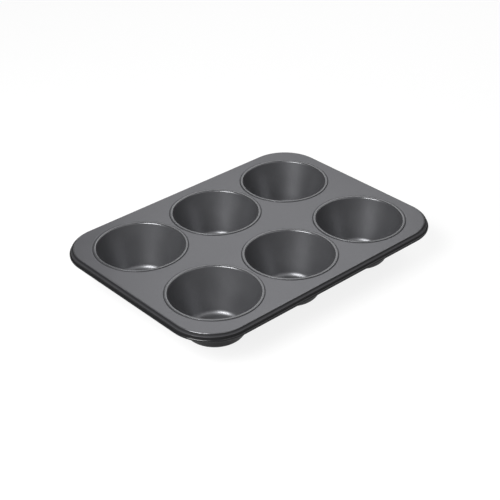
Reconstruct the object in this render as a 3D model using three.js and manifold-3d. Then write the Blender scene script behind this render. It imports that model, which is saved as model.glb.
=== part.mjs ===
// Muffin pan with six cups, in millimetres, +Z up.
// The origin is on the surface that the pan stands on, under the middle of the deck.
// X runs along the long side, and the front row of cups is on the -Y side.
import * as THREE from 'three';
import { mergeVertices } from 'three/addons/utils/BufferGeometryUtils.js';
import Module from 'manifold-3d';

const wasm = await Module();
wasm.setup();

const overallHeight = 50.8;

// Sheet steel, and the wire that the rim is rolled round
const sheet = 0.6;
const wireDiameter = 1.2;
const wireClearance = 0.2;

// Rim: the deck steps down to a narrow ledge, turns down to a skirt, and curls out round the wire
const deckCornerRadius = 44;
const ledgeRun = 3.2;
const ledgeDrop = 2.2;
const skirtBend = 0.8;
const skirtHeight = 2.9;
const skirtFoot = 0.4;
const curlTurn = THREE.MathUtils.degToRad(300);

// Cups, with their inside radii
const mouthRadius = 47.7;
const lipRadius = 2.2;
const flangeLand = 1.8;
const baseRadius = 25;
const baseFillet = 8;

// Deck left between the cups' flanges, and from the flanges to the outside of the rim
const columnGap = 4.4;
const rowGap = 19.4;
const endMargin = 18.3;
const sideMargin = 17.7;

// How a cup is held: a collar on the deck, trapped between the flange and a bead in the cup's wall
const collarDepth = 4.0;
const collarClearance = 0.3;
const lockBeadReach = 0.9;
const lockBeadHeight = 1.8;

// Facets
const turnSegments = 32;
const filletSteps = 3;
const lipSteps = 2;
const collarSteps = 1;
const ledgeSteps = 2;
const bendSteps = 2;
const footSteps = 1;
const curlSteps = 10;
const wireSides = 8;

// Deck land that a collar or the rim shares with the plate where they are joined
const joinOverlap = 1.0;

// Sizes that follow from those above
const deckTop = overallHeight - sheet;
const beadRadius = wireDiameter / 2 + wireClearance + sheet;
const ledgeHeight = deckTop - ledgeDrop;
const beadTop = ledgeHeight - skirtHeight;
const wireHeight = beadTop - beadRadius;
const wireReach = ledgeRun + skirtBend + skirtFoot;
const flangeRadius = mouthRadius + lipRadius + flangeLand;
const columnPitch = 2 * flangeRadius + columnGap;
const rowPitch = 2 * flangeRadius + rowGap;
const halfLength = columnPitch + flangeRadius + endMargin;
const halfWidth = rowPitch / 2 + flangeRadius + sideMargin;
const flatHalfLength = halfLength - wireReach - beadRadius;
const flatHalfWidth = halfWidth - wireReach - beadRadius;

const coatedDeck = new THREE.MeshStandardMaterial({ color: 0x7b7b7d, roughness: 0.45, metalness: 0.6 });
const coatedCup = new THREE.MeshStandardMaterial({ color: 0x5c5c5f, roughness: 0.4, metalness: 0.6 });
const bareWire = new THREE.MeshStandardMaterial({ color: 0xa6a8aa, roughness: 0.35, metalness: 1.0 });

function arcPoints(centre, radius, from, to, steps) {
  const points = [];
  for (let i = 0; i <= steps; i += 1) {
    const angle = from + ((to - from) * i) / steps;
    points.push(new THREE.Vector2(radius * Math.cos(angle), radius * Math.sin(angle)).add(centre));
  }
  return points;
}

// The path moved by a distance to its right, with mitred corners.
function offsetPath(path, distance) {
  const normals = [];
  for (let i = 1; i < path.length; i += 1) {
    const along = path[i].clone().sub(path[i - 1]).normalize();
    normals.push(new THREE.Vector2(along.y, -along.x));
  }
  return path.map((point, i) => {
    const before = normals[Math.max(i - 1, 0)];
    const after = normals[Math.min(i, normals.length - 1)];
    const mitre = before.clone().add(after).divideScalar(1 + before.dot(after));
    return point.clone().addScaledVector(mitre, distance);
  });
}

// The section of a sheet whose upper or inner face follows the path.
function sheetSection(path) {
  return [...offsetPath(path, sheet), ...path.slice().reverse()];
}

function closedOutline(outline) {
  return [...outline, outline[0].clone()];
}

function turned(outline, startAngle = 0) {
  const geometry = new THREE.LatheGeometry(outline, turnSegments, startAngle);
  return geometry.rotateX(Math.PI / 2);
}

// A section carried round a rounded rectangle: a turned ring whose four quarters are moved apart.
// The ring's facets touch the true arc, so that its straight runs lie at their full distance.
function carriedRound(section, outlineX, outlineY, cornerRadius) {
  const halfTurn = Math.PI / turnSegments;
  const outline = section.map((p) => new THREE.Vector2((cornerRadius + p.x) / Math.cos(halfTurn), p.y));
  const geometry = turned(closedOutline(outline), halfTurn);
  const position = geometry.attributes.position;
  for (let i = 0; i < position.count; i += 1) {
    const x = position.getX(i);
    const y = position.getY(i);
    position.setX(i, x + Math.sign(x) * (outlineX - cornerRadius));
    position.setY(i, y + Math.sign(y) * (outlineY - cornerRadius));
  }
  return geometry;
}

// The outline that carriedRound follows, drawn in by an inset.
function roundedOutline(outlineX, outlineY, cornerRadius, inset) {
  const halfTurn = Math.PI / turnSegments;
  const radius = (cornerRadius - inset) / Math.cos(halfTurn);
  const points = [];
  for (let i = 0; i < turnSegments; i += 1) {
    const angle = (2 * i + 1) * halfTurn;
    const x = Math.cos(angle);
    const y = Math.sin(angle);
    const cornerX = Math.sign(x) * (outlineX - cornerRadius);
    const cornerY = Math.sign(y) * (outlineY - cornerRadius);
    points.push(new THREE.Vector2(cornerX + radius * x, cornerY + radius * y));
  }
  return points;
}

function solidOf(geometry) {
  geometry.deleteAttribute('normal');
  geometry.deleteAttribute('uv');
  const merged = mergeVertices(geometry);
  const vertProperties = new Float32Array(merged.attributes.position.array);
  const triVerts = new Uint32Array(merged.index.array);
  return new wasm.Manifold(new wasm.Mesh({ numProp: 3, vertProperties, triVerts }));
}

function geometryOf(solid) {
  const mesh = solid.getMesh();
  const geometry = new THREE.BufferGeometry();
  geometry.setAttribute('position', new THREE.BufferAttribute(mesh.vertProperties, 3));
  geometry.setIndex(new THREE.BufferAttribute(mesh.triVerts, 1));
  geometry.computeVertexNormals();
  return geometry;
}

// The cup centres, in the order of their names
const cupPlaces = [];
for (const [row, side] of [['front', -1], ['back', 1]]) {
  for (const [column, step] of [['left', -1], ['middle', 0], ['right', 1]]) {
    cupPlaces.push({ name: `cup_${row}_${column}`, x: step * columnPitch, y: (side * rowPitch) / 2 });
  }
}

// A cup's wall is the straight line that touches the fillet at its base and the rounded lip.
const filletCentre = new THREE.Vector2(baseRadius, sheet + baseFillet);
const lipCentre = new THREE.Vector2(mouthRadius + lipRadius, overallHeight - lipRadius);
const toLip = lipCentre.clone().sub(filletCentre);
const wallLean = Math.acos((baseFillet + lipRadius) / toLip.length()) - toLip.angle();
const wallUp = new THREE.Vector2(Math.sin(wallLean), Math.cos(wallLean));
const wallOut = new THREE.Vector2(Math.cos(wallLean), -Math.sin(wallLean));

// The collar hugs the wall under the lip, one clearance further out.
const collarBend = lipRadius - sheet;
const collarCentre = new THREE.Vector2(lipCentre.x + collarClearance, deckTop - collarBend);
const collarFoot = deckTop - collarDepth;

// The point of a leaning line at a height
function atHeight(start, height) {
  return start.clone().addScaledVector(wallUp, (height - start.y) / wallUp.y);
}

// A drawn cup: flat base, fillet, sloped wall with its locking bead, rounded lip and flange
function cupGeometry() {
  const wallFoot = filletCentre.clone().addScaledVector(wallOut, baseFillet);
  const beadTop = atHeight(wallFoot, collarFoot - sheet * wallUp.x - collarClearance);
  const inside = [
    new THREE.Vector2(0, sheet),
    ...arcPoints(filletCentre, baseFillet, -Math.PI / 2, -wallLean, filletSteps),
    beadTop.clone().addScaledVector(wallUp, -lockBeadHeight),
    beadTop.clone().addScaledVector(wallUp, -lockBeadHeight / 2).addScaledVector(wallOut, lockBeadReach),
    beadTop,
    ...arcPoints(lipCentre, lipRadius, Math.PI - wallLean, Math.PI / 2, lipSteps),
    new THREE.Vector2(flangeRadius, overallHeight),
  ];
  return turned(sheetSection(inside));
}

// The collar round one hole: the deck turned down beside the cup's wall
function collarGeometry() {
  const bend = arcPoints(collarCentre, collarBend, Math.PI - wallLean, Math.PI / 2, collarSteps);
  const face = [
    atHeight(bend[0], collarFoot),
    ...bend,
    new THREE.Vector2(collarCentre.x + 2 * joinOverlap, deckTop),
  ];
  return turned(closedOutline(sheetSection(face)));
}

// The rim, from the deck's flat edge outwards: an S-shaped step of two equal arcs down to the ledge,
// the bend into the skirt, the foot that turns out again, and the curl
function rimGeometry() {
  const up = Math.PI / 2;
  const stepAngle = 2 * Math.atan(ledgeDrop / ledgeRun);
  const stepRadius = ledgeRun / (2 * Math.sin(stepAngle));
  const flatEdge = new THREE.Vector2(0, deckTop - stepRadius);
  const ledgeCove = new THREE.Vector2(ledgeRun, ledgeHeight + stepRadius);
  const bendCentre = new THREE.Vector2(ledgeRun, ledgeHeight - skirtBend);
  const footCentre = new THREE.Vector2(wireReach, beadTop + skirtFoot);
  const curlCentre = new THREE.Vector2(wireReach, wireHeight);
  const face = [
    new THREE.Vector2(-2 * joinOverlap, deckTop),
    ...arcPoints(flatEdge, stepRadius, up, up - stepAngle, ledgeSteps),
    ...arcPoints(ledgeCove, stepRadius, -up - stepAngle, -up, ledgeSteps).slice(1),
    ...arcPoints(bendCentre, skirtBend, up, 0, bendSteps).slice(1),
    ...arcPoints(footCentre, skirtFoot, Math.PI, up + Math.PI, footSteps),
    ...arcPoints(curlCentre, beadRadius, up, up - curlTurn, curlSteps).slice(1),
  ];
  return carriedRound(sheetSection(face), flatHalfLength, flatHalfWidth, deckCornerRadius);
}

function plateGeometry() {
  const outline = roundedOutline(flatHalfLength, flatHalfWidth, deckCornerRadius, joinOverlap);
  const shape = new THREE.Shape(outline);
  for (const place of cupPlaces) {
    const hole = new THREE.Path();
    hole.absarc(place.x, place.y, collarCentre.x + joinOverlap, 0, 2 * Math.PI);
    shape.holes.push(hole);
  }
  const plate = new THREE.ExtrudeGeometry(shape, {
    depth: sheet,
    bevelEnabled: false,
    curveSegments: turnSegments / 2,
  });
  return plate.translate(0, 0, deckTop - sheet);
}

function deckGeometry() {
  let deck = solidOf(plateGeometry()).add(solidOf(rimGeometry()));
  for (const place of cupPlaces) {
    deck = deck.add(solidOf(collarGeometry().translate(place.x, place.y, 0)));
  }
  return geometryOf(deck);
}

function wireGeometry() {
  const centre = new THREE.Vector2(wireReach, wireHeight);
  const section = arcPoints(centre, wireDiameter / 2, 0, 2 * Math.PI, wireSides).slice(0, -1);
  return carriedRound(section, flatHalfLength, flatHalfWidth, deckCornerRadius);
}

const pan = new THREE.Group();

function addPiece(name, geometry, material) {
  const mesh = new THREE.Mesh(geometry, material);
  mesh.name = name;
  pan.add(mesh);
  return mesh;
}

addPiece('deck_plate', deckGeometry(), coatedDeck);
addPiece('rim_wire', wireGeometry(), bareWire);
for (const place of cupPlaces) {
  const cup = addPiece(place.name, cupGeometry(), coatedCup);
  cup.position.set(place.x, place.y, 0);
}

export default pan;
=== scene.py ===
import math

import bmesh
import bpy
from mathutils import Matrix, Vector


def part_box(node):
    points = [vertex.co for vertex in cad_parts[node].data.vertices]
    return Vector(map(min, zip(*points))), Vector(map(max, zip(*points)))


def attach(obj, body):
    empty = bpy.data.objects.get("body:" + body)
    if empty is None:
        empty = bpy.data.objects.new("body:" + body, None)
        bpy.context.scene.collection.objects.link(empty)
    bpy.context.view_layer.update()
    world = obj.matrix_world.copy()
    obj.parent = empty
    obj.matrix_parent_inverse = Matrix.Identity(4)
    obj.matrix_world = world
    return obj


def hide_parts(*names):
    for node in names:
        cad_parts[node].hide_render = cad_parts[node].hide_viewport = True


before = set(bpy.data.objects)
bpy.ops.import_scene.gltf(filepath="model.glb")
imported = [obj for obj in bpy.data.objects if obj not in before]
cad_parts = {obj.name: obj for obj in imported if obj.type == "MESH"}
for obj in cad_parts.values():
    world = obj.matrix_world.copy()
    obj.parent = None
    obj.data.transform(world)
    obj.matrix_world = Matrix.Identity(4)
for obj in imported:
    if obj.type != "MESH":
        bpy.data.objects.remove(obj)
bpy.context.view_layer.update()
scene = bpy.context.scene
scene.view_settings.view_transform = "Standard"
print("frame loaded:", len(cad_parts), "nodes")

cupNames = sorted(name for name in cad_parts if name.startswith("cup_"))
cupBoxes = {name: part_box(name) for name in cupNames}
deckLow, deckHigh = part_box("deck_plate")
wireLow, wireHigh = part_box("rim_wire")
deckTop, cupTop = deckHigh.z, cupBoxes[cupNames[0]][1].z
sheet = cupTop - deckTop                  # the flange lies on the deck, so it is one sheet higher
wireRadius = (wireHigh.z - wireLow.z) / 2
wireHeight = (wireHigh.z + wireLow.z) / 2
beadRadius = wireHeight - deckLow.z       # the bead is rolled round the wire


# Node helpers; a link is given as (from node, its output, to node, its input)

def addNode(tree, kind, values=None, **settings):
    node = tree.nodes.new(kind)
    for key, value in settings.items():
        setattr(node, key, value)
    for key, value in (values or {}).items():
        node.inputs[key].default_value = value
    return node


def addLinks(tree, *links):
    for source, output, target, socket in links:
        tree.links.new(source.outputs[output], target.inputs[socket])


def addSockets(tree, inputs, outputs):
    for direction, sockets in (("INPUT", inputs), ("OUTPUT", outputs)):
        for name, kind in sockets:
            tree.interface.new_socket(name, in_out=direction, socket_type="NodeSocket" + kind)
    return tree.nodes.new("NodeGroupInput"), tree.nodes.new("NodeGroupOutput")


# Object and mesh helpers

def newObject(name, data):
    thing = bpy.data.objects.new(name, data)
    scene.collection.objects.link(thing)
    return thing


# The mesh that a piece's modifiers give; the piece itself goes
def plainMesh(piece):
    evaluated = piece.evaluated_get(bpy.context.evaluated_depsgraph_get())
    mesh = bpy.data.meshes.new_from_object(evaluated)
    bpy.data.objects.remove(piece)
    return mesh


def arc(centreX, centreZ, radius, startDegrees, endDegrees, steps):
    points = []
    for i in range(steps + 1):
        angle = math.radians(startDegrees + (endDegrees - startDegrees) * i / steps)
        points.append((centreX + radius * math.cos(angle), centreZ + radius * math.sin(angle)))
    return points


# A section is a polyline of (outwards, upwards) points; each mark is a named value for every point
def sectionMesh(name, points, marks):
    mesh = bpy.data.meshes.new(name)
    edges = [(i, i + 1) for i in range(len(points) - 1)]
    mesh.from_pydata([(x, -z, 0) for x, z in points], edges, [])
    for mark, values in marks.items():
        attribute = mesh.attributes.new(mark, "FLOAT", "POINT")
        attribute.data.foreach_set("value", values)
    return mesh


def runTree(name, mesh, tree, values):
    piece = newObject(name, mesh)
    modifier = piece.modifiers.new(name, "NODES")
    modifier.node_group = tree
    for item in tree.interface.items_tree:
        if item.in_out == "INPUT" and item.name in values:
            modifier[item.identifier] = values[item.name]
    return plainMesh(piece)


# Joins meshes at the edges they share and makes their faces look the same way
def weldMeshes(name, meshes, mergeDistance=2e-6):
    shell = bmesh.new()
    for mesh in meshes:
        shell.from_mesh(mesh)
    bmesh.ops.remove_doubles(shell, verts=shell.verts, dist=mergeDistance)
    bmesh.ops.dissolve_degenerate(shell, edges=shell.edges, dist=mergeDistance)
    bmesh.ops.recalc_face_normals(shell, faces=shell.faces)
    result = bpy.data.meshes.new(name)
    shell.to_mesh(result)
    shell.free()
    return result


def addPiece(name, mesh, material, node, sharpDegrees=40):
    mesh.name = name
    mesh.materials.clear()
    mesh.materials.append(material)
    mesh.polygons.foreach_set("use_smooth", [True] * len(mesh.polygons))
    mesh.set_sharp_from_angle(angle=math.radians(sharpDegrees))
    piece = newObject(name, mesh)
    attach(piece, "root")
    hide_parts(node)
    return piece


# Geometry node trees

outlineSockets = [
    ("Length", "Float"), ("Width", "Float"), ("Corner Radius", "Float"), ("Corner Steps", "Int"),
]
gridSockets = [("Columns", "Int"), ("Rows", "Int"), ("Span X", "Float"), ("Span Y", "Float")]


def newTree(name, inputs):
    tree = bpy.data.node_groups.new(name, "GeometryNodeTree")
    return tree, *addSockets(tree, inputs + [("Material", "Material")], [("Geometry", "Geometry")])


def addOutline(tree, inside):
    outline = addNode(tree, "GeometryNodeCurvePrimitiveQuadrilateral")
    rounded = addNode(tree, "GeometryNodeFilletCurve", mode="POLY")
    addLinks(tree,
             (inside, "Length", outline, "Width"),
             (inside, "Width", outline, "Height"),
             (outline, "Curve", rounded, "Curve"),
             (inside, "Corner Steps", rounded, "Count"),
             (inside, "Corner Radius", rounded, "Radius"))
    return rounded


def addCircle(tree, inside, radius, steps):
    circle = addNode(tree, "GeometryNodeCurvePrimitiveCircle", mode="RADIUS")
    addLinks(tree, (inside, steps, circle, "Resolution"), (inside, radius, circle, "Radius"))
    return circle


# Carries the section along a path
def addSweep(tree, inside, path):
    section = addNode(tree, "GeometryNodeMeshToCurve")
    upright = addNode(tree, "GeometryNodeSetCurveNormal", mode="Z_UP")
    sweep = addNode(tree, "GeometryNodeCurveToMesh")
    addLinks(tree,
             (inside, "Section", section, "Mesh"),
             (path, "Curve", upright, "Curve"),
             (upright, "Curve", sweep, "Curve"),
             (section, "Curve", sweep, "Profile Curve"))
    return sweep


# Copies a shape to each place of a grid
def addCopies(tree, inside, shape, output):
    places = addNode(tree, "GeometryNodeMeshGrid")
    copies = addNode(tree, "GeometryNodeInstanceOnPoints")
    addLinks(tree,
             (inside, "Span X", places, "Size X"),
             (inside, "Span Y", places, "Size Y"),
             (inside, "Columns", places, "Vertices X"),
             (inside, "Rows", places, "Vertices Y"),
             (places, "Mesh", copies, "Points"),
             (shape, output, copies, "Instance"))
    return copies


def endTree(tree, inside, outside, last, output):
    realize = addNode(tree, "GeometryNodeRealizeInstances")
    paint = addNode(tree, "GeometryNodeSetMaterial")
    addLinks(tree,
             (last, output, realize, "Geometry"),
             (realize, "Geometry", paint, "Geometry"),
             (inside, "Material", paint, "Material"),
             (paint, "Geometry", outside, "Geometry"))


def makeCarryTree():
    tree, inside, outside = newTree("carryRoundDeck", [("Section", "Geometry")] + outlineSockets)
    sweep = addSweep(tree, inside, addOutline(tree, inside))
    endTree(tree, inside, outside, sweep, "Mesh")
    return tree


def makeSpinTree():
    tree, inside, outside = newTree("spinSection", [
        ("Section", "Geometry"), ("Start Radius", "Float"), ("Turn Steps", "Int"), ("Place", "Vector"),
    ] + gridSockets)
    sweep = addSweep(tree, inside, addCircle(tree, inside, "Start Radius", "Turn Steps"))
    position = addNode(tree, "GeometryNodeInputPosition")
    fromAxis = addNode(tree, "GeometryNodeStoreNamedAttribute", {"Name": "fromAxis"},
                       data_type="FLOAT_VECTOR", domain="POINT")
    move = addNode(tree, "GeometryNodeTransform")
    copies = addCopies(tree, inside, fromAxis, "Geometry")
    addLinks(tree,
             (sweep, "Mesh", fromAxis, "Geometry"),
             (position, "Position", fromAxis, "Value"),
             (copies, "Instances", move, "Geometry"),
             (inside, "Place", move, "Translation"))
    endTree(tree, inside, outside, move, "Geometry")
    return tree


def makePlateTree():
    tree, inside, outside = newTree("plateWithHoles", [
        ("Geometry", "Geometry"), ("Hole Radius", "Float"), ("Hole Steps", "Int"), ("Height", "Vector"),
    ] + outlineSockets + gridSockets)
    rounded = addOutline(tree, inside)
    holes = addCopies(tree, inside, addCircle(tree, inside, "Hole Radius", "Hole Steps"), "Curve")
    holeCurves = addNode(tree, "GeometryNodeRealizeInstances")
    outlines = addNode(tree, "GeometryNodeJoinGeometry")
    fill = addNode(tree, "GeometryNodeFillCurve", mode="TRIANGLES")
    lift = addNode(tree, "GeometryNodeTransform")
    addLinks(tree,
             (holes, "Instances", holeCurves, "Geometry"),
             (rounded, "Curve", outlines, "Geometry"),
             (holeCurves, "Geometry", outlines, "Geometry"),
             (outlines, "Geometry", fill, "Curve"),
             (fill, "Mesh", lift, "Geometry"),
             (inside, "Height", lift, "Translation"))
    endTree(tree, inside, outside, lift, "Geometry")
    return tree


carryTree = makeCarryTree()
spinTree = makeSpinTree()
plateTree = makePlateTree()
print("geometry trees made")


# Shader groups

def makeGrainGroup():
    tree = bpy.data.node_groups.new("coatingGrain", "ShaderNodeTree")
    inside, outside = addSockets(tree, [
        ("Vector", "Vector"), ("Fleck Scale", "Float"), ("Peel Scale", "Float"), ("Cloud Scale", "Float"),
    ], [("Flecks", "Float"), ("Peel", "Float"), ("Clouds", "Float")])
    fleckNoise = addNode(tree, "ShaderNodeTexNoise", {"Detail": 1.0, "Roughness": 0.6})
    fleckCut = addNode(tree, "ShaderNodeMapRange", {"From Min": 0.58, "From Max": 0.78})
    peelNoise = addNode(tree, "ShaderNodeTexNoise", {"Detail": 2.0, "Roughness": 0.5})
    cloudNoise = addNode(tree, "ShaderNodeTexNoise", {"Detail": 4.0, "Roughness": 0.55})
    cloudSpread = addNode(tree, "ShaderNodeMapRange", {"From Min": 0.3, "From Max": 0.7})
    for noise, scale in ((fleckNoise, "Fleck Scale"), (peelNoise, "Peel Scale"), (cloudNoise, "Cloud Scale")):
        addLinks(tree, (inside, "Vector", noise, "Vector"), (inside, scale, noise, "Scale"))
    addLinks(tree,
             (fleckNoise, "Fac", fleckCut, "Value"),
             (fleckCut, "Result", outside, "Flecks"),
             (peelNoise, "Fac", outside, "Peel"),
             (cloudNoise, "Fac", cloudSpread, "Value"),
             (cloudSpread, "Result", outside, "Clouds"))
    return tree


# Wear on the bends that the section marks as exposed, broken up by noise
def makeRubGroup():
    tree = bpy.data.node_groups.new("rubbedEdge", "ShaderNodeTree")
    inside, outside = addSockets(tree, [
        ("Vector", "Vector"), ("Exposed", "Float"), ("Patch Scale", "Float"), ("Amount", "Float"),
    ], [("Mask", "Float")])
    patches = addNode(tree, "ShaderNodeTexNoise", {"Detail": 5.0, "Roughness": 0.65})
    patchCut = addNode(tree, "ShaderNodeMapRange", {"From Min": 0.4, "From Max": 0.75})
    onBend = addNode(tree, "ShaderNodeMath", operation="MULTIPLY")
    scaled = addNode(tree, "ShaderNodeMath", operation="MULTIPLY")
    addLinks(tree,
             (inside, "Vector", patches, "Vector"),
             (inside, "Patch Scale", patches, "Scale"),
             (patches, "Fac", patchCut, "Value"),
             (patchCut, "Result", onBend, 0),
             (inside, "Exposed", onBend, 1),
             (onBend, "Value", scaled, 0),
             (inside, "Amount", scaled, 1),
             (scaled, "Value", outside, "Mask"))
    return tree


# Rings left by drawing the sheet, round the axis that the vector is measured from
def makeRingGroup():
    tree = bpy.data.node_groups.new("drawnRings", "ShaderNodeTree")
    inside, outside = addSockets(tree, [("Vector", "Vector"), ("Ring Scale", "Float")], [("Rings", "Float")])
    flat = addNode(tree, "ShaderNodeVectorMath", {1: (1, 1, 0)}, operation="MULTIPLY")
    radius = addNode(tree, "ShaderNodeVectorMath", operation="LENGTH")
    split = addNode(tree, "ShaderNodeSeparateXYZ")
    along = addNode(tree, "ShaderNodeMath", operation="ADD")
    noise = addNode(tree, "ShaderNodeTexNoise", {"Detail": 3.0, "Roughness": 0.7}, noise_dimensions="1D")
    addLinks(tree,
             (inside, "Vector", flat, 0),
             (flat, "Vector", radius, 0),
             (inside, "Vector", split, "Vector"),
             (radius, "Value", along, 0),
             (split, "Z", along, 1),
             (along, "Value", noise, "W"),
             (inside, "Ring Scale", noise, "Scale"),
             (noise, "Fac", outside, "Rings"))
    return tree


grainGroup = makeGrainGroup()
rubGroup = makeRubGroup()
ringGroup = makeRingGroup()


# Satin grey non-stick coating on steel; one mark gives the skirt, bead, seam grooves, undersides and the top
# of the inner walls a duller finish and paints shade on them in a dark colour

coating = {
    "rubbed": (0.26, 0.26, 0.27),
    "roughness": (0.36, 0.45),
    "dullRoughness": 0.08,        # added where the surface is marked duller and shade is painted
    "rubRoughness": -0.16,        # added on the rubbed bends
    "specular": 0.15,
    "grain": {"Fleck Scale": 1400.0, "Peel Scale": 900.0, "Cloud Scale": 22.0},
    "cloudShare": (0.25, 0.65),   # how far the clouds go from dark to light
    "fleckShare": 0.5,            # added by a fleck
    "patchScale": 160.0,
    "peelDepth": 0.000022,
}
deckFinish = {
    **coating,
    "dark": (0.140, 0.141, 0.150),
    "light": (0.186, 0.187, 0.199),
    # dark colour painted as shade on the skirt, bead, seam grooves and underside
    "dull": (0.012, 0.012, 0.013),
    "metallic": 0.52,
    "coat": 0.15,
    "rubCoat": 0.85,              # added on the rubbed bends
    "coatRoughness": 0.13,
    "rub": 0.22,
}
cupFinish = {
    **coating,
    "dark": (0.134, 0.135, 0.143),
    "light": (0.181, 0.183, 0.193),
    # dark colour painted as shade on the cups' outsides and the tops of their inner walls
    "dull": (0.024, 0.024, 0.026),
    "metallic": 0.72,
    "coat": 0.5,
    "rubCoat": 0.4,
    "coatRoughness": 0.24,
    "rub": 0.12,
    "ringScale": 700.0,
    "ringDepth": 0.000010,
}
wireFinish = {
    "dark": (0.33, 0.33, 0.335),
    "light": (0.46, 0.46, 0.47),
    "roughness": (0.3, 0.45),
    "grain": {"Fleck Scale": 2500.0, "Peel Scale": 1600.0, "Cloud Scale": 60.0},
}


def newMaterial(name):
    material = bpy.data.materials.new(name)
    material.use_nodes = True
    return material, material.node_tree


def addSpread(tree, low, high):
    return addNode(tree, "ShaderNodeMapRange", {"To Min": low, "To Max": high})


def addScaledSum(tree, factor, clamped):
    return addNode(tree, "ShaderNodeMath", {1: factor}, operation="MULTIPLY_ADD", use_clamp=clamped)


def coatedMaterial(name, finish):
    material, tree = newMaterial(name)
    shader = tree.nodes["Principled BSDF"]
    shader.inputs["Specular IOR Level"].default_value = finish["specular"]
    shader.inputs["Coat Roughness"].default_value = finish["coatRoughness"]
    place = addNode(tree, "ShaderNodeTexCoord")
    exposed = addNode(tree, "ShaderNodeAttribute", attribute_name="rub")
    dull = addNode(tree, "ShaderNodeAttribute", attribute_name="dull")
    grain = addNode(tree, "ShaderNodeGroup", finish["grain"], node_tree=grainGroup)
    rub = addNode(tree, "ShaderNodeGroup", {"Patch Scale": finish["patchScale"], "Amount": finish["rub"]},
                  node_tree=rubGroup)
    addLinks(tree,
             (place, "Object", grain, "Vector"),
             (place, "Object", rub, "Vector"),
             (exposed, "Fac", rub, "Exposed"))

    # the last mix paints shade: it darkens the colour towards the dark constant where the surface is marked
    # for shade and a duller finish
    clouded, worn, darkened = (addNode(tree, "ShaderNodeMix", {"B": (*finish[key], 1)}, data_type="RGBA")
                               for key in ("light", "rubbed", "dull"))
    clouded.inputs["A"].default_value = (*finish["dark"], 1)
    cloudShare = addSpread(tree, *finish["cloudShare"])
    flecked = addScaledSum(tree, finish["fleckShare"], True)
    addLinks(tree,
             (grain, "Clouds", cloudShare, "Value"),
             (grain, "Flecks", flecked, 0),
             (cloudShare, "Result", flecked, 2),
             (flecked, "Value", clouded, "Factor"),
             (clouded, "Result", worn, "A"),
             (rub, "Mask", worn, "Factor"),
             (worn, "Result", darkened, "A"),
             (dull, "Fac", darkened, "Factor"),
             (darkened, "Result", shader, "Base Color"))

    metal = addSpread(tree, finish["metallic"], 0.0)
    coat = addSpread(tree, finish["coat"], 0.0)
    polished = addScaledSum(tree, finish["rubCoat"], True)
    addLinks(tree,
             (dull, "Fac", metal, "Value"),
             (metal, "Result", shader, "Metallic"),
             (dull, "Fac", coat, "Value"),
             (exposed, "Fac", polished, 0),
             (coat, "Result", polished, 2),
             (polished, "Value", shader, "Coat Weight"))

    satin = addSpread(tree, *finish["roughness"])
    dulled = addScaledSum(tree, finish["dullRoughness"], False)
    smoothed = addScaledSum(tree, finish["rubRoughness"], False)
    addLinks(tree,
             (grain, "Clouds", satin, "Value"),
             (dull, "Fac", dulled, 0),
             (satin, "Result", dulled, 2),
             (exposed, "Fac", smoothed, 0),
             (dulled, "Value", smoothed, 2),
             (smoothed, "Value", shader, "Roughness"))

    peel = addNode(tree, "ShaderNodeBump", {"Distance": finish["peelDepth"]})
    addLinks(tree, (grain, "Peel", peel, "Height"), (peel, "Normal", shader, "Normal"))
    if "ringDepth" in finish:
        ownPlace = addNode(tree, "ShaderNodeAttribute", attribute_name="fromAxis")
        rings = addNode(tree, "ShaderNodeGroup", {"Ring Scale": finish["ringScale"]}, node_tree=ringGroup)
        drawn = addNode(tree, "ShaderNodeBump", {"Distance": finish["ringDepth"]})
        addLinks(tree,
                 (ownPlace, "Vector", rings, "Vector"),
                 (rings, "Rings", drawn, "Height"),
                 (drawn, "Normal", peel, "Normal"))
    return material


def wireMaterial(name, finish):
    material, tree = newMaterial(name)
    shader = tree.nodes["Principled BSDF"]
    shader.inputs["Metallic"].default_value = 1.0
    place = addNode(tree, "ShaderNodeTexCoord")
    grain = addNode(tree, "ShaderNodeGroup", finish["grain"], node_tree=grainGroup)
    colours = {"A": (*finish["dark"], 1), "B": (*finish["light"], 1)}
    steel = addNode(tree, "ShaderNodeMix", colours, data_type="RGBA")
    gloss = addSpread(tree, *finish["roughness"])
    addLinks(tree,
             (place, "Object", grain, "Vector"),
             (grain, "Clouds", steel, "Factor"),
             (grain, "Clouds", gloss, "Value"),
             (steel, "Result", shader, "Base Color"),
             (gloss, "Result", shader, "Roughness"))
    return material


coatedDeck = coatedMaterial("coatedDeck", deckFinish)
coatedCup = coatedMaterial("coatedCup", cupFinish)
bareWire = wireMaterial("bareWire", wireFinish)
print("materials made")


# Cup: a drawn section spun round the cup's axis, with a flat base, fillet, straight wall, lip and flange

cupSizes = {
    "mouthRadius": 0.0477,
    "lipRadius": 0.0022,
    "lipSteps": (14, 8),          # inside and outside
    "lipRub": 1.0,                # how polished the lip and the flange are
    "flangeRub": 0.2,
    "flangeEdge": 0.00025,        # rounding of the flange's cut edge
    "edgeSteps": 4,
    "baseRadius": 0.0250,
    "baseRings": (0.97, 0.5, 0),  # rings of points on the flat base, in shares of its radius
    "baseFillet": 0.0080,
    "filletSteps": (20, 16),      # inside and outside
    "wallDull": 0.3,              # painted shade and a duller finish at the top of the inner wall, less towards its foot
    "lockBeadTop": 0.0457,
    "lockBeadHeight": 0.0018,
    "lockBeadReach": 0.0009,
    "lockBeadSteps": 12,
    "spinRadius": 0.001,          # of the circle that the section is carried round
    "turnSteps": 160,
}


# How far the wall leans from upright, so that it touches the base's fillet and the lip's bend
def wallLean(sizes):
    lip, fillet = sizes["lipRadius"], sizes["baseFillet"]
    toLip = Vector((sizes["mouthRadius"] + lip - sizes["baseRadius"], cupTop - lip - sheet - fillet))
    return math.acos((fillet + lip) / toLip.length) - math.atan2(toLip.y, toLip.x)


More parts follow.
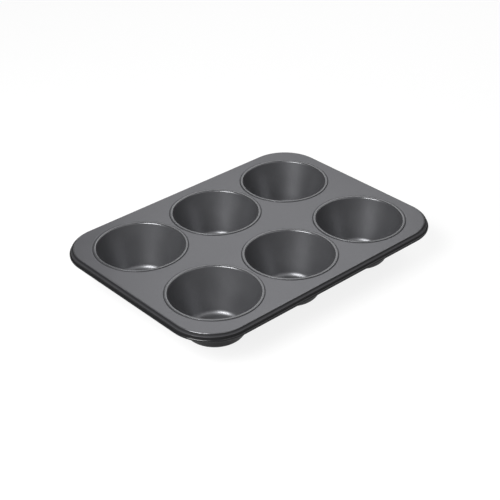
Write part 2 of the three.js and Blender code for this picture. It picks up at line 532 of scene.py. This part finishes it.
def cupSection(sizes, flangeRadius):
    lean = wallLean(sizes)
    leanDegrees = math.degrees(lean)
    lip, edge = sizes["lipRadius"], sizes["flangeEdge"]
    base, fillet = sizes["baseRadius"], sizes["baseFillet"]
    lipX, lipZ = sizes["mouthRadius"] + lip, cupTop - lip
    filletZ = sheet + fillet
    filletIn, filletOut = sizes["filletSteps"]
    lipIn, lipOut = sizes["lipSteps"]
    flat = [base * share for share in sizes["baseRings"]]

    inner = [(x, sheet) for x in reversed(flat)]
    inner += arc(base, filletZ, fillet, -90, -leanDegrees, filletIn)
    # painted shade and a duller finish rising up the inner wall to the lip, gone at the lip's top
    dull = [0.0] * len(inner) + [sizes["wallDull"] * (1 - i / lipIn) for i in range(lipIn + 1)]
    inner += arc(lipX, lipZ, lip, 180 - leanDegrees, 90, lipIn)
    flange = arc(flangeRadius - edge, cupTop - edge, edge, 90, 0, sizes["edgeSteps"])
    flange += arc(flangeRadius - edge, deckTop + edge, edge, 0, -90, sizes["edgeSteps"])

    outer = arc(lipX, lipZ, lip - sheet, 90, 180 - leanDegrees, lipOut)
    wallUp = Vector((math.sin(lean), math.cos(lean)))
    wallOut = Vector((math.cos(lean), -math.sin(lean)))
    foot = Vector((base, filletZ)) + wallOut * fillet
    lockTop = foot + wallUp * ((sizes["lockBeadTop"] - foot.y) / wallUp.y)
    for i in range(sizes["lockBeadSteps"] + 1):
        t = i / sizes["lockBeadSteps"]
        swell = sizes["lockBeadReach"] * math.sin(math.pi * t) ** 2
        outer.append(tuple(lockTop - wallUp * (sizes["lockBeadHeight"] * t) + wallOut * (sheet + swell)))
    outer += arc(base, filletZ, fillet + sheet, -leanDegrees, -90, filletOut)
    outer += [(x, 0) for x in flat]

    points = inner + flange + outer
    # painted shade and a duller finish on the whole outside of the cup
    dull += [0.0] * len(flange) + [1.0] * len(outer)
    rub = []
    for x, z in points:
        onLip = x < lipX and z > lipZ + lip / 2
        onFlange = x > lipX and z > deckTop
        rub.append(sizes["lipRub"] if onLip else sizes["flangeRub"] if onFlange else 0.0)
    return points, {"rub": rub, "dull": dull}


def makeCup(name, sizes):
    low, high = cupBoxes[name]
    points, marks = cupSection(sizes, (high.x - low.x) / 2)
    start = sizes["spinRadius"]
    section = sectionMesh("cupSection", [(x - start, z) for x, z in points], marks)
    mesh = runTree(name, section, spinTree, {
        "Start Radius": start, "Turn Steps": sizes["turnSteps"], "Columns": 1, "Rows": 1,
        "Place": ((low.x + high.x) / 2, (low.y + high.y) / 2, 0), "Material": coatedCup})
    return weldMeshes(name, [mesh])


# Deck: a flat plate with six collared holes, stepped down to a ledge, a skirt and a rolled bead

deckSizes = {
    "cornerRadius": 0.0440,       # at the edge of the flat
    "cornerSteps": 28,
    "edgeBand": 0.0015,           # flat strip kept along the edge of the flat
    "ledgeRun": 0.0032,
    "ledgeDrop": 0.0022,
    "stepBend": 0.0010,           # both bends of the step
    "stepSlope": 72,              # degrees below the flat
    "ledgeSlope": 24,
    "skirtBend": 0.0008,
    "skirtFoot": 0.0004,
    "curlTurn": 300,
    "rimSteps": {"step": 8, "turn": 6, "bend": 8, "foot": 5, "curl": 40},
    "rimMarks": {                 # how polished each part of the rim is, and how much duller finish and painted shade it has
        "flat": {"rub": 0.0, "dull": 0.0},
        "step": {"rub": 0.9, "dull": 0.0},
        "ledge": {"rub": 0.0, "dull": 0.95},
        "crest": {"rub": 0.05, "dull": 0.70},
        "bead": {"rub": 1.0, "dull": 0.97},
        "skirt": {"rub": 0.0, "dull": 1.0},
    },
    "holeColumns": 3,
    "holeRows": 2,
    "holeSteps": 160,
    "collarClearance": 0.0003,
    "collarDepth": 0.0040,
    "collarSteps": 8,
    "seamWidth": 0.0013,          # shallow groove just outside each flange
    "seamDepth": 0.0004,
    # painted shade and a duller finish in the groove
    "seamDull": 0.7,
    "seamBand": 0.0006,           # flat strip kept outside the groove
    "seamSteps": 12,
}


def rimSection(sizes):
    run, drop, stepBend = sizes["ledgeRun"], sizes["ledgeDrop"], sizes["stepBend"]
    band, bend, foot = sizes["edgeBand"], sizes["skirtBend"], sizes["skirtFoot"]
    stepSlope, ledgeSlope, steps = sizes["stepSlope"], sizes["ledgeSlope"], sizes["rimSteps"]
    step, slope = math.radians(stepSlope), math.radians(ledgeSlope)
    curlX, curlZ = band + run + bend + foot, deckLow.z + beadRadius
    bendX, bendZ = band + run, deckTop - drop - bend

    points = [(0, deckTop)]
    points += arc(band, deckTop - stepBend, stepBend, 90, 90 - stepSlope, steps["step"])
    edgeX, edgeZ = points[-1]
    stepTurn = len(points) - 2            # the step's lowest points take the ledge's polish, duller finish and painted shade
    crestX, crestZ = bendX + bend * math.sin(slope), bendZ + bend * math.cos(slope)
    turnRun = stepBend * (math.sin(step) - math.sin(slope))
    turnDrop = stepBend * (math.cos(slope) - math.cos(step))
    leftRun, leftDrop = crestX - edgeX - turnRun, edgeZ - crestZ - turnDrop
    ledge = (leftRun * math.sin(step) - leftDrop * math.cos(step)) / math.sin(step - slope)
    footX, footZ = crestX - ledge * math.cos(slope), crestZ + ledge * math.sin(slope)
    points += arc(footX + stepBend * math.sin(slope), footZ + stepBend * math.cos(slope), stepBend,
                  270 - stepSlope, 270 - ledgeSlope, steps["turn"])
    ledgeEnd = len(points)
    points += arc(bendX, bendZ, bend, 90 - ledgeSlope, 0, steps["bend"])
    points += arc(curlX, curlZ + beadRadius + foot, foot, 180, 270, steps["foot"])
    points += arc(curlX, curlZ, beadRadius, 90, 90 - sizes["curlTurn"], steps["curl"])[1:]

    parts = ["flat"] * 2 + ["step"] * (stepTurn - 2) + ["ledge"] * (ledgeEnd - stepTurn)
    for x, z in points[ledgeEnd:]:
        onBead = x > curlX and z > curlZ + beadRadius / 3
        parts.append("crest" if z > bendZ + bend / 2 else "bead" if onBead else "skirt")
    marks = sizes["rimMarks"]
    return points, {mark: [marks[part][mark] for part in parts] for mark in ("rub", "dull")}


# Groove and collar of a hole; outwards counts from where the flat plate ends, which is also returned
def collarSection(sizes, flangeRadius):
    lean, lip = wallLean(cupSizes), cupSizes["lipRadius"]
    centreX = cupSizes["mouthRadius"] + lip + sizes["collarClearance"]
    bend = lip - sheet
    seamOut = flangeRadius + sizes["seamWidth"]
    seamIn = flangeRadius - sizes["seamWidth"] / 2
    start = seamOut + sizes["seamBand"]
    points, dull = [(start, deckTop)], [0.0]
    for i in range(sizes["seamSteps"] + 1):
        t = i / sizes["seamSteps"]
        dip = math.sin(math.pi * t) ** 2
        points.append((seamOut + (seamIn - seamOut) * t, deckTop - sizes["seamDepth"] * dip))
        # painted shade in the groove, deepest at its middle
        dull.append(sizes["seamDull"] * dip)
    points += arc(centreX, deckTop - bend, bend, 90, 180 - math.degrees(lean), sizes["collarSteps"])
    endX, endZ = points[-1]
    drop = endZ - deckTop + sizes["collarDepth"]
    points.append((endX - drop * math.tan(lean), endZ - drop))
    # painted shade and a duller finish on the collar below the flange
    dull += [1.0] * (len(points) - len(dull))
    return [(x - start, z) for x, z in points], {"dull": dull}, start


# Gives the deck its sheet below the surface
def thickened(surface, thickness):
    piece = newObject("wall", surface)
    wall = piece.modifiers.new("wall", "SOLIDIFY")
    wall.thickness = thickness
    wall.offset = -1
    wall.use_even_offset = True
    mesh = plainMesh(piece)
    dull = mesh.attributes["dull"].data
    for i in range(len(surface.vertices), len(mesh.vertices)):
        dull[i].value = 1.0               # painted shade and a duller finish on the underside, which the modifier adds after the top
    return mesh


def makeDeck(sizes):
    reach = sizes["edgeBand"] + sizes["ledgeRun"] + sizes["skirtBend"] + sizes["skirtFoot"] + beadRadius
    flatSize = {
        "Length": 2 * (deckHigh.x - reach),
        "Width": 2 * (deckHigh.y - reach),
        "Corner Radius": sizes["cornerRadius"] - sizes["edgeBand"],
        "Corner Steps": sizes["cornerSteps"],
        "Material": coatedDeck,
    }
    places = [(low + high) / 2 for low, high in cupBoxes.values()]
    grid = {
        "Columns": sizes["holeColumns"],
        "Rows": sizes["holeRows"],
        "Span X": max(p.x for p in places) - min(p.x for p in places),
        "Span Y": max(p.y for p in places) - min(p.y for p in places),
        "Material": coatedDeck,
    }
    low, high = cupBoxes[cupNames[0]]
    rimMesh = sectionMesh("rimSection", *rimSection(sizes))
    collarPoints, collarMarks, start = collarSection(sizes, (high.x - low.x) / 2)
    collarMesh = sectionMesh("collarSection", collarPoints, collarMarks)
    rim = runTree("rim", rimMesh, carryTree, flatSize)
    collars = runTree("collars", collarMesh, spinTree,
                      {**grid, "Start Radius": start, "Turn Steps": sizes["holeSteps"]})
    plate = runTree("plate", bpy.data.meshes.new("empty"), plateTree,
                    {**flatSize, **grid, "Hole Radius": start, "Hole Steps": sizes["holeSteps"],
                     "Height": (0, 0, deckTop)})
    surface = weldMeshes("deckSurface", [plate, rim, collars])
    if max(surface.polygons, key=lambda face: face.area).normal.z < 0:
        surface.flip_normals()            # the largest faces are the flat's, and those look up
    return thickened(surface, sheet)


# Wire inside the rolled bead

wireSizes = {"aroundSteps": 20, "cornerSteps": 28}


def makeWire(sizes):
    points = arc(0, wireHeight, wireRadius, 0, 360, sizes["aroundSteps"])
    outwards = deckSizes["ledgeRun"] + deckSizes["skirtBend"] + deckSizes["skirtFoot"]
    mesh = runTree("wire", sectionMesh("wireSection", points, {}), carryTree, {
        "Length": wireHigh.x - wireLow.x - 2 * wireRadius,
        "Width": wireHigh.y - wireLow.y - 2 * wireRadius,
        "Corner Radius": deckSizes["cornerRadius"] + outwards,
        "Corner Steps": sizes["cornerSteps"],
        "Material": bareWire,
    })
    return weldMeshes("rimWire", [mesh])


# Pieces

deck = addPiece("deckPlate", makeDeck(deckSizes), coatedDeck, "deck_plate")
print("deck made:", len(deck.data.polygons), "faces")
wire = addPiece("rimWire", makeWire(wireSizes), bareWire, "rim_wire")
print("wire made:", len(wire.data.polygons), "faces")
for name in cupNames:
    first, *words = name.split("_")
    pieceName = first + "".join(word.capitalize() for word in words)
    cup = addPiece(pieceName, makeCup(name, cupSizes), coatedCup, name)
print("cups made:", len(cup.data.polygons), "faces each")


# Camera at the photograph's viewing angle

viewPoint = {
    "azimuth": -41.866,           # degrees from the -Y side towards +X
    "elevation": 32.0,
    "roll": -0.709,
    "distance": 1.3447,           # metres from the middle of the deck
    "offRight": -0.00187,
    "offUp": -0.02000,
    "sensor": 36.0,
    "lens": 87.362,
}


def directionTo(azimuth, elevation):
    a, e = math.radians(azimuth), math.radians(elevation)
    return Vector((math.sin(a) * math.cos(e), -math.cos(a) * math.cos(e), math.sin(e)))


def addCamera(view):
    back = directionTo(view["azimuth"], view["elevation"])
    right = Vector((0, 0, 1)).cross(back).normalized()
    up = back.cross(right)
    roll = math.radians(view["roll"])
    rolledRight = right * math.cos(roll) + up * math.sin(roll)
    rolledUp = up * math.cos(roll) - right * math.sin(roll)
    place = Vector((0, 0, deckTop)) + back * view["distance"]
    place += rolledRight * view["offRight"] + rolledUp * view["offUp"]
    data = bpy.data.cameras.new("photoCamera")
    data.sensor_width = view["sensor"]
    data.lens = view["lens"]
    camera = newObject("photoCamera", data)
    turn = Matrix((rolledRight, rolledUp, back)).transposed()
    camera.matrix_world = Matrix.Translation(place) @ turn.to_4x4()
    scene.camera = camera


addCamera(viewPoint)


# Floor, world and lamps

lightSetup = {
    "floorHalf": 6.0,
    "floorDrop": 0.0001,          # just clear of the cups' bases
    "floorColour": (0.75, 0.75, 0.75),
    "seenFloorColour": (0.20, 0.20, 0.20),
    "seenFloorGlow": 0.85,
    "world": 0.02,
}
softboxes = {
    "keySoftbox": {"azimuth": -80, "elevation": 42, "distance": 1.6, "size": (0.8, 0.95), "power": 17},
    "coreSoftbox": {"azimuth": -77, "elevation": 46, "distance": 1.55, "size": (0.95, 0.42), "power": 11.5},
    "fillSoftbox": {"azimuth": 10, "elevation": 50, "distance": 1.6, "size": (1.3, 0.9), "power": 3.9},
    "rightSoftbox": {"azimuth": 75, "elevation": 44, "distance": 1.6, "size": (1.2, 0.9), "power": 3.5},
    "backSoftbox": {"azimuth": 135.5, "elevation": 41, "distance": 1.6, "size": (0.8, 1.0), "power": 4},
}


# Pale where it is seen or mirrored, a plain lit floor for the rest of the light
def floorMaterial(setup):
    material, tree = newMaterial("paleFloor")
    tree.nodes.clear()
    path = addNode(tree, "ShaderNodeLightPath")
    seen = addNode(tree, "ShaderNodeMath", operation="MAXIMUM")
    seenThrough = addNode(tree, "ShaderNodeMath", operation="MAXIMUM")
    lit = addNode(tree, "ShaderNodeBsdfDiffuse", {"Color": (*setup["floorColour"], 1)})
    seenLit = addNode(tree, "ShaderNodeBsdfDiffuse", {"Color": (*setup["seenFloorColour"], 1)})
    glow = addNode(tree, "ShaderNodeEmission", {"Strength": setup["seenFloorGlow"]})
    seenFloor = addNode(tree, "ShaderNodeAddShader")
    choice = addNode(tree, "ShaderNodeMixShader")
    output = addNode(tree, "ShaderNodeOutputMaterial")
    addLinks(tree,
             (path, "Is Camera Ray", seen, 0),
             (path, "Is Glossy Ray", seen, 1),
             (seen, "Value", seenThrough, 0),
             (path, "Is Transmission Ray", seenThrough, 1),
             (seenThrough, "Value", choice, "Fac"),
             (seenLit, "BSDF", seenFloor, 0),
             (glow, "Emission", seenFloor, 1),
             (lit, "BSDF", choice, 1),
             (seenFloor, "Shader", choice, 2),
             (choice, "Shader", output, "Surface"))
    return material


def addFloor(setup):
    half, low = setup["floorHalf"], -setup["floorDrop"]
    mesh = bpy.data.meshes.new("floor")
    corners = [(-half, -half, low), (half, -half, low), (half, half, low), (-half, half, low)]
    mesh.from_pydata(corners, [], [(0, 1, 2, 3)])
    mesh.materials.append(floorMaterial(setup))
    floor = newObject("floor", mesh)


def addSoftbox(name, box):
    toLamp = directionTo(box["azimuth"], box["elevation"])
    data = bpy.data.lights.new(name, "AREA")
    data.shape = "RECTANGLE"
    data.size, data.size_y = box["size"]
    data.energy = box["power"]
    lamp = newObject(name, data)
    lamp.location = Vector((0, 0, deckTop)) + toLamp * box["distance"]
    lamp.rotation_euler = toLamp.to_track_quat("Z", "Y").to_euler()


def addWorld(strength):
    world = bpy.data.worlds.new("studio")
    scene.world = world
    world.use_nodes = True
    background = world.node_tree.nodes["Background"]
    background.inputs["Color"].default_value = (1, 1, 1, 1)
    background.inputs["Strength"].default_value = strength


addFloor(lightSetup)
addWorld(lightSetup["world"])
for name, box in softboxes.items():
    addSoftbox(name, box)
print("camera, floor and lamps placed")
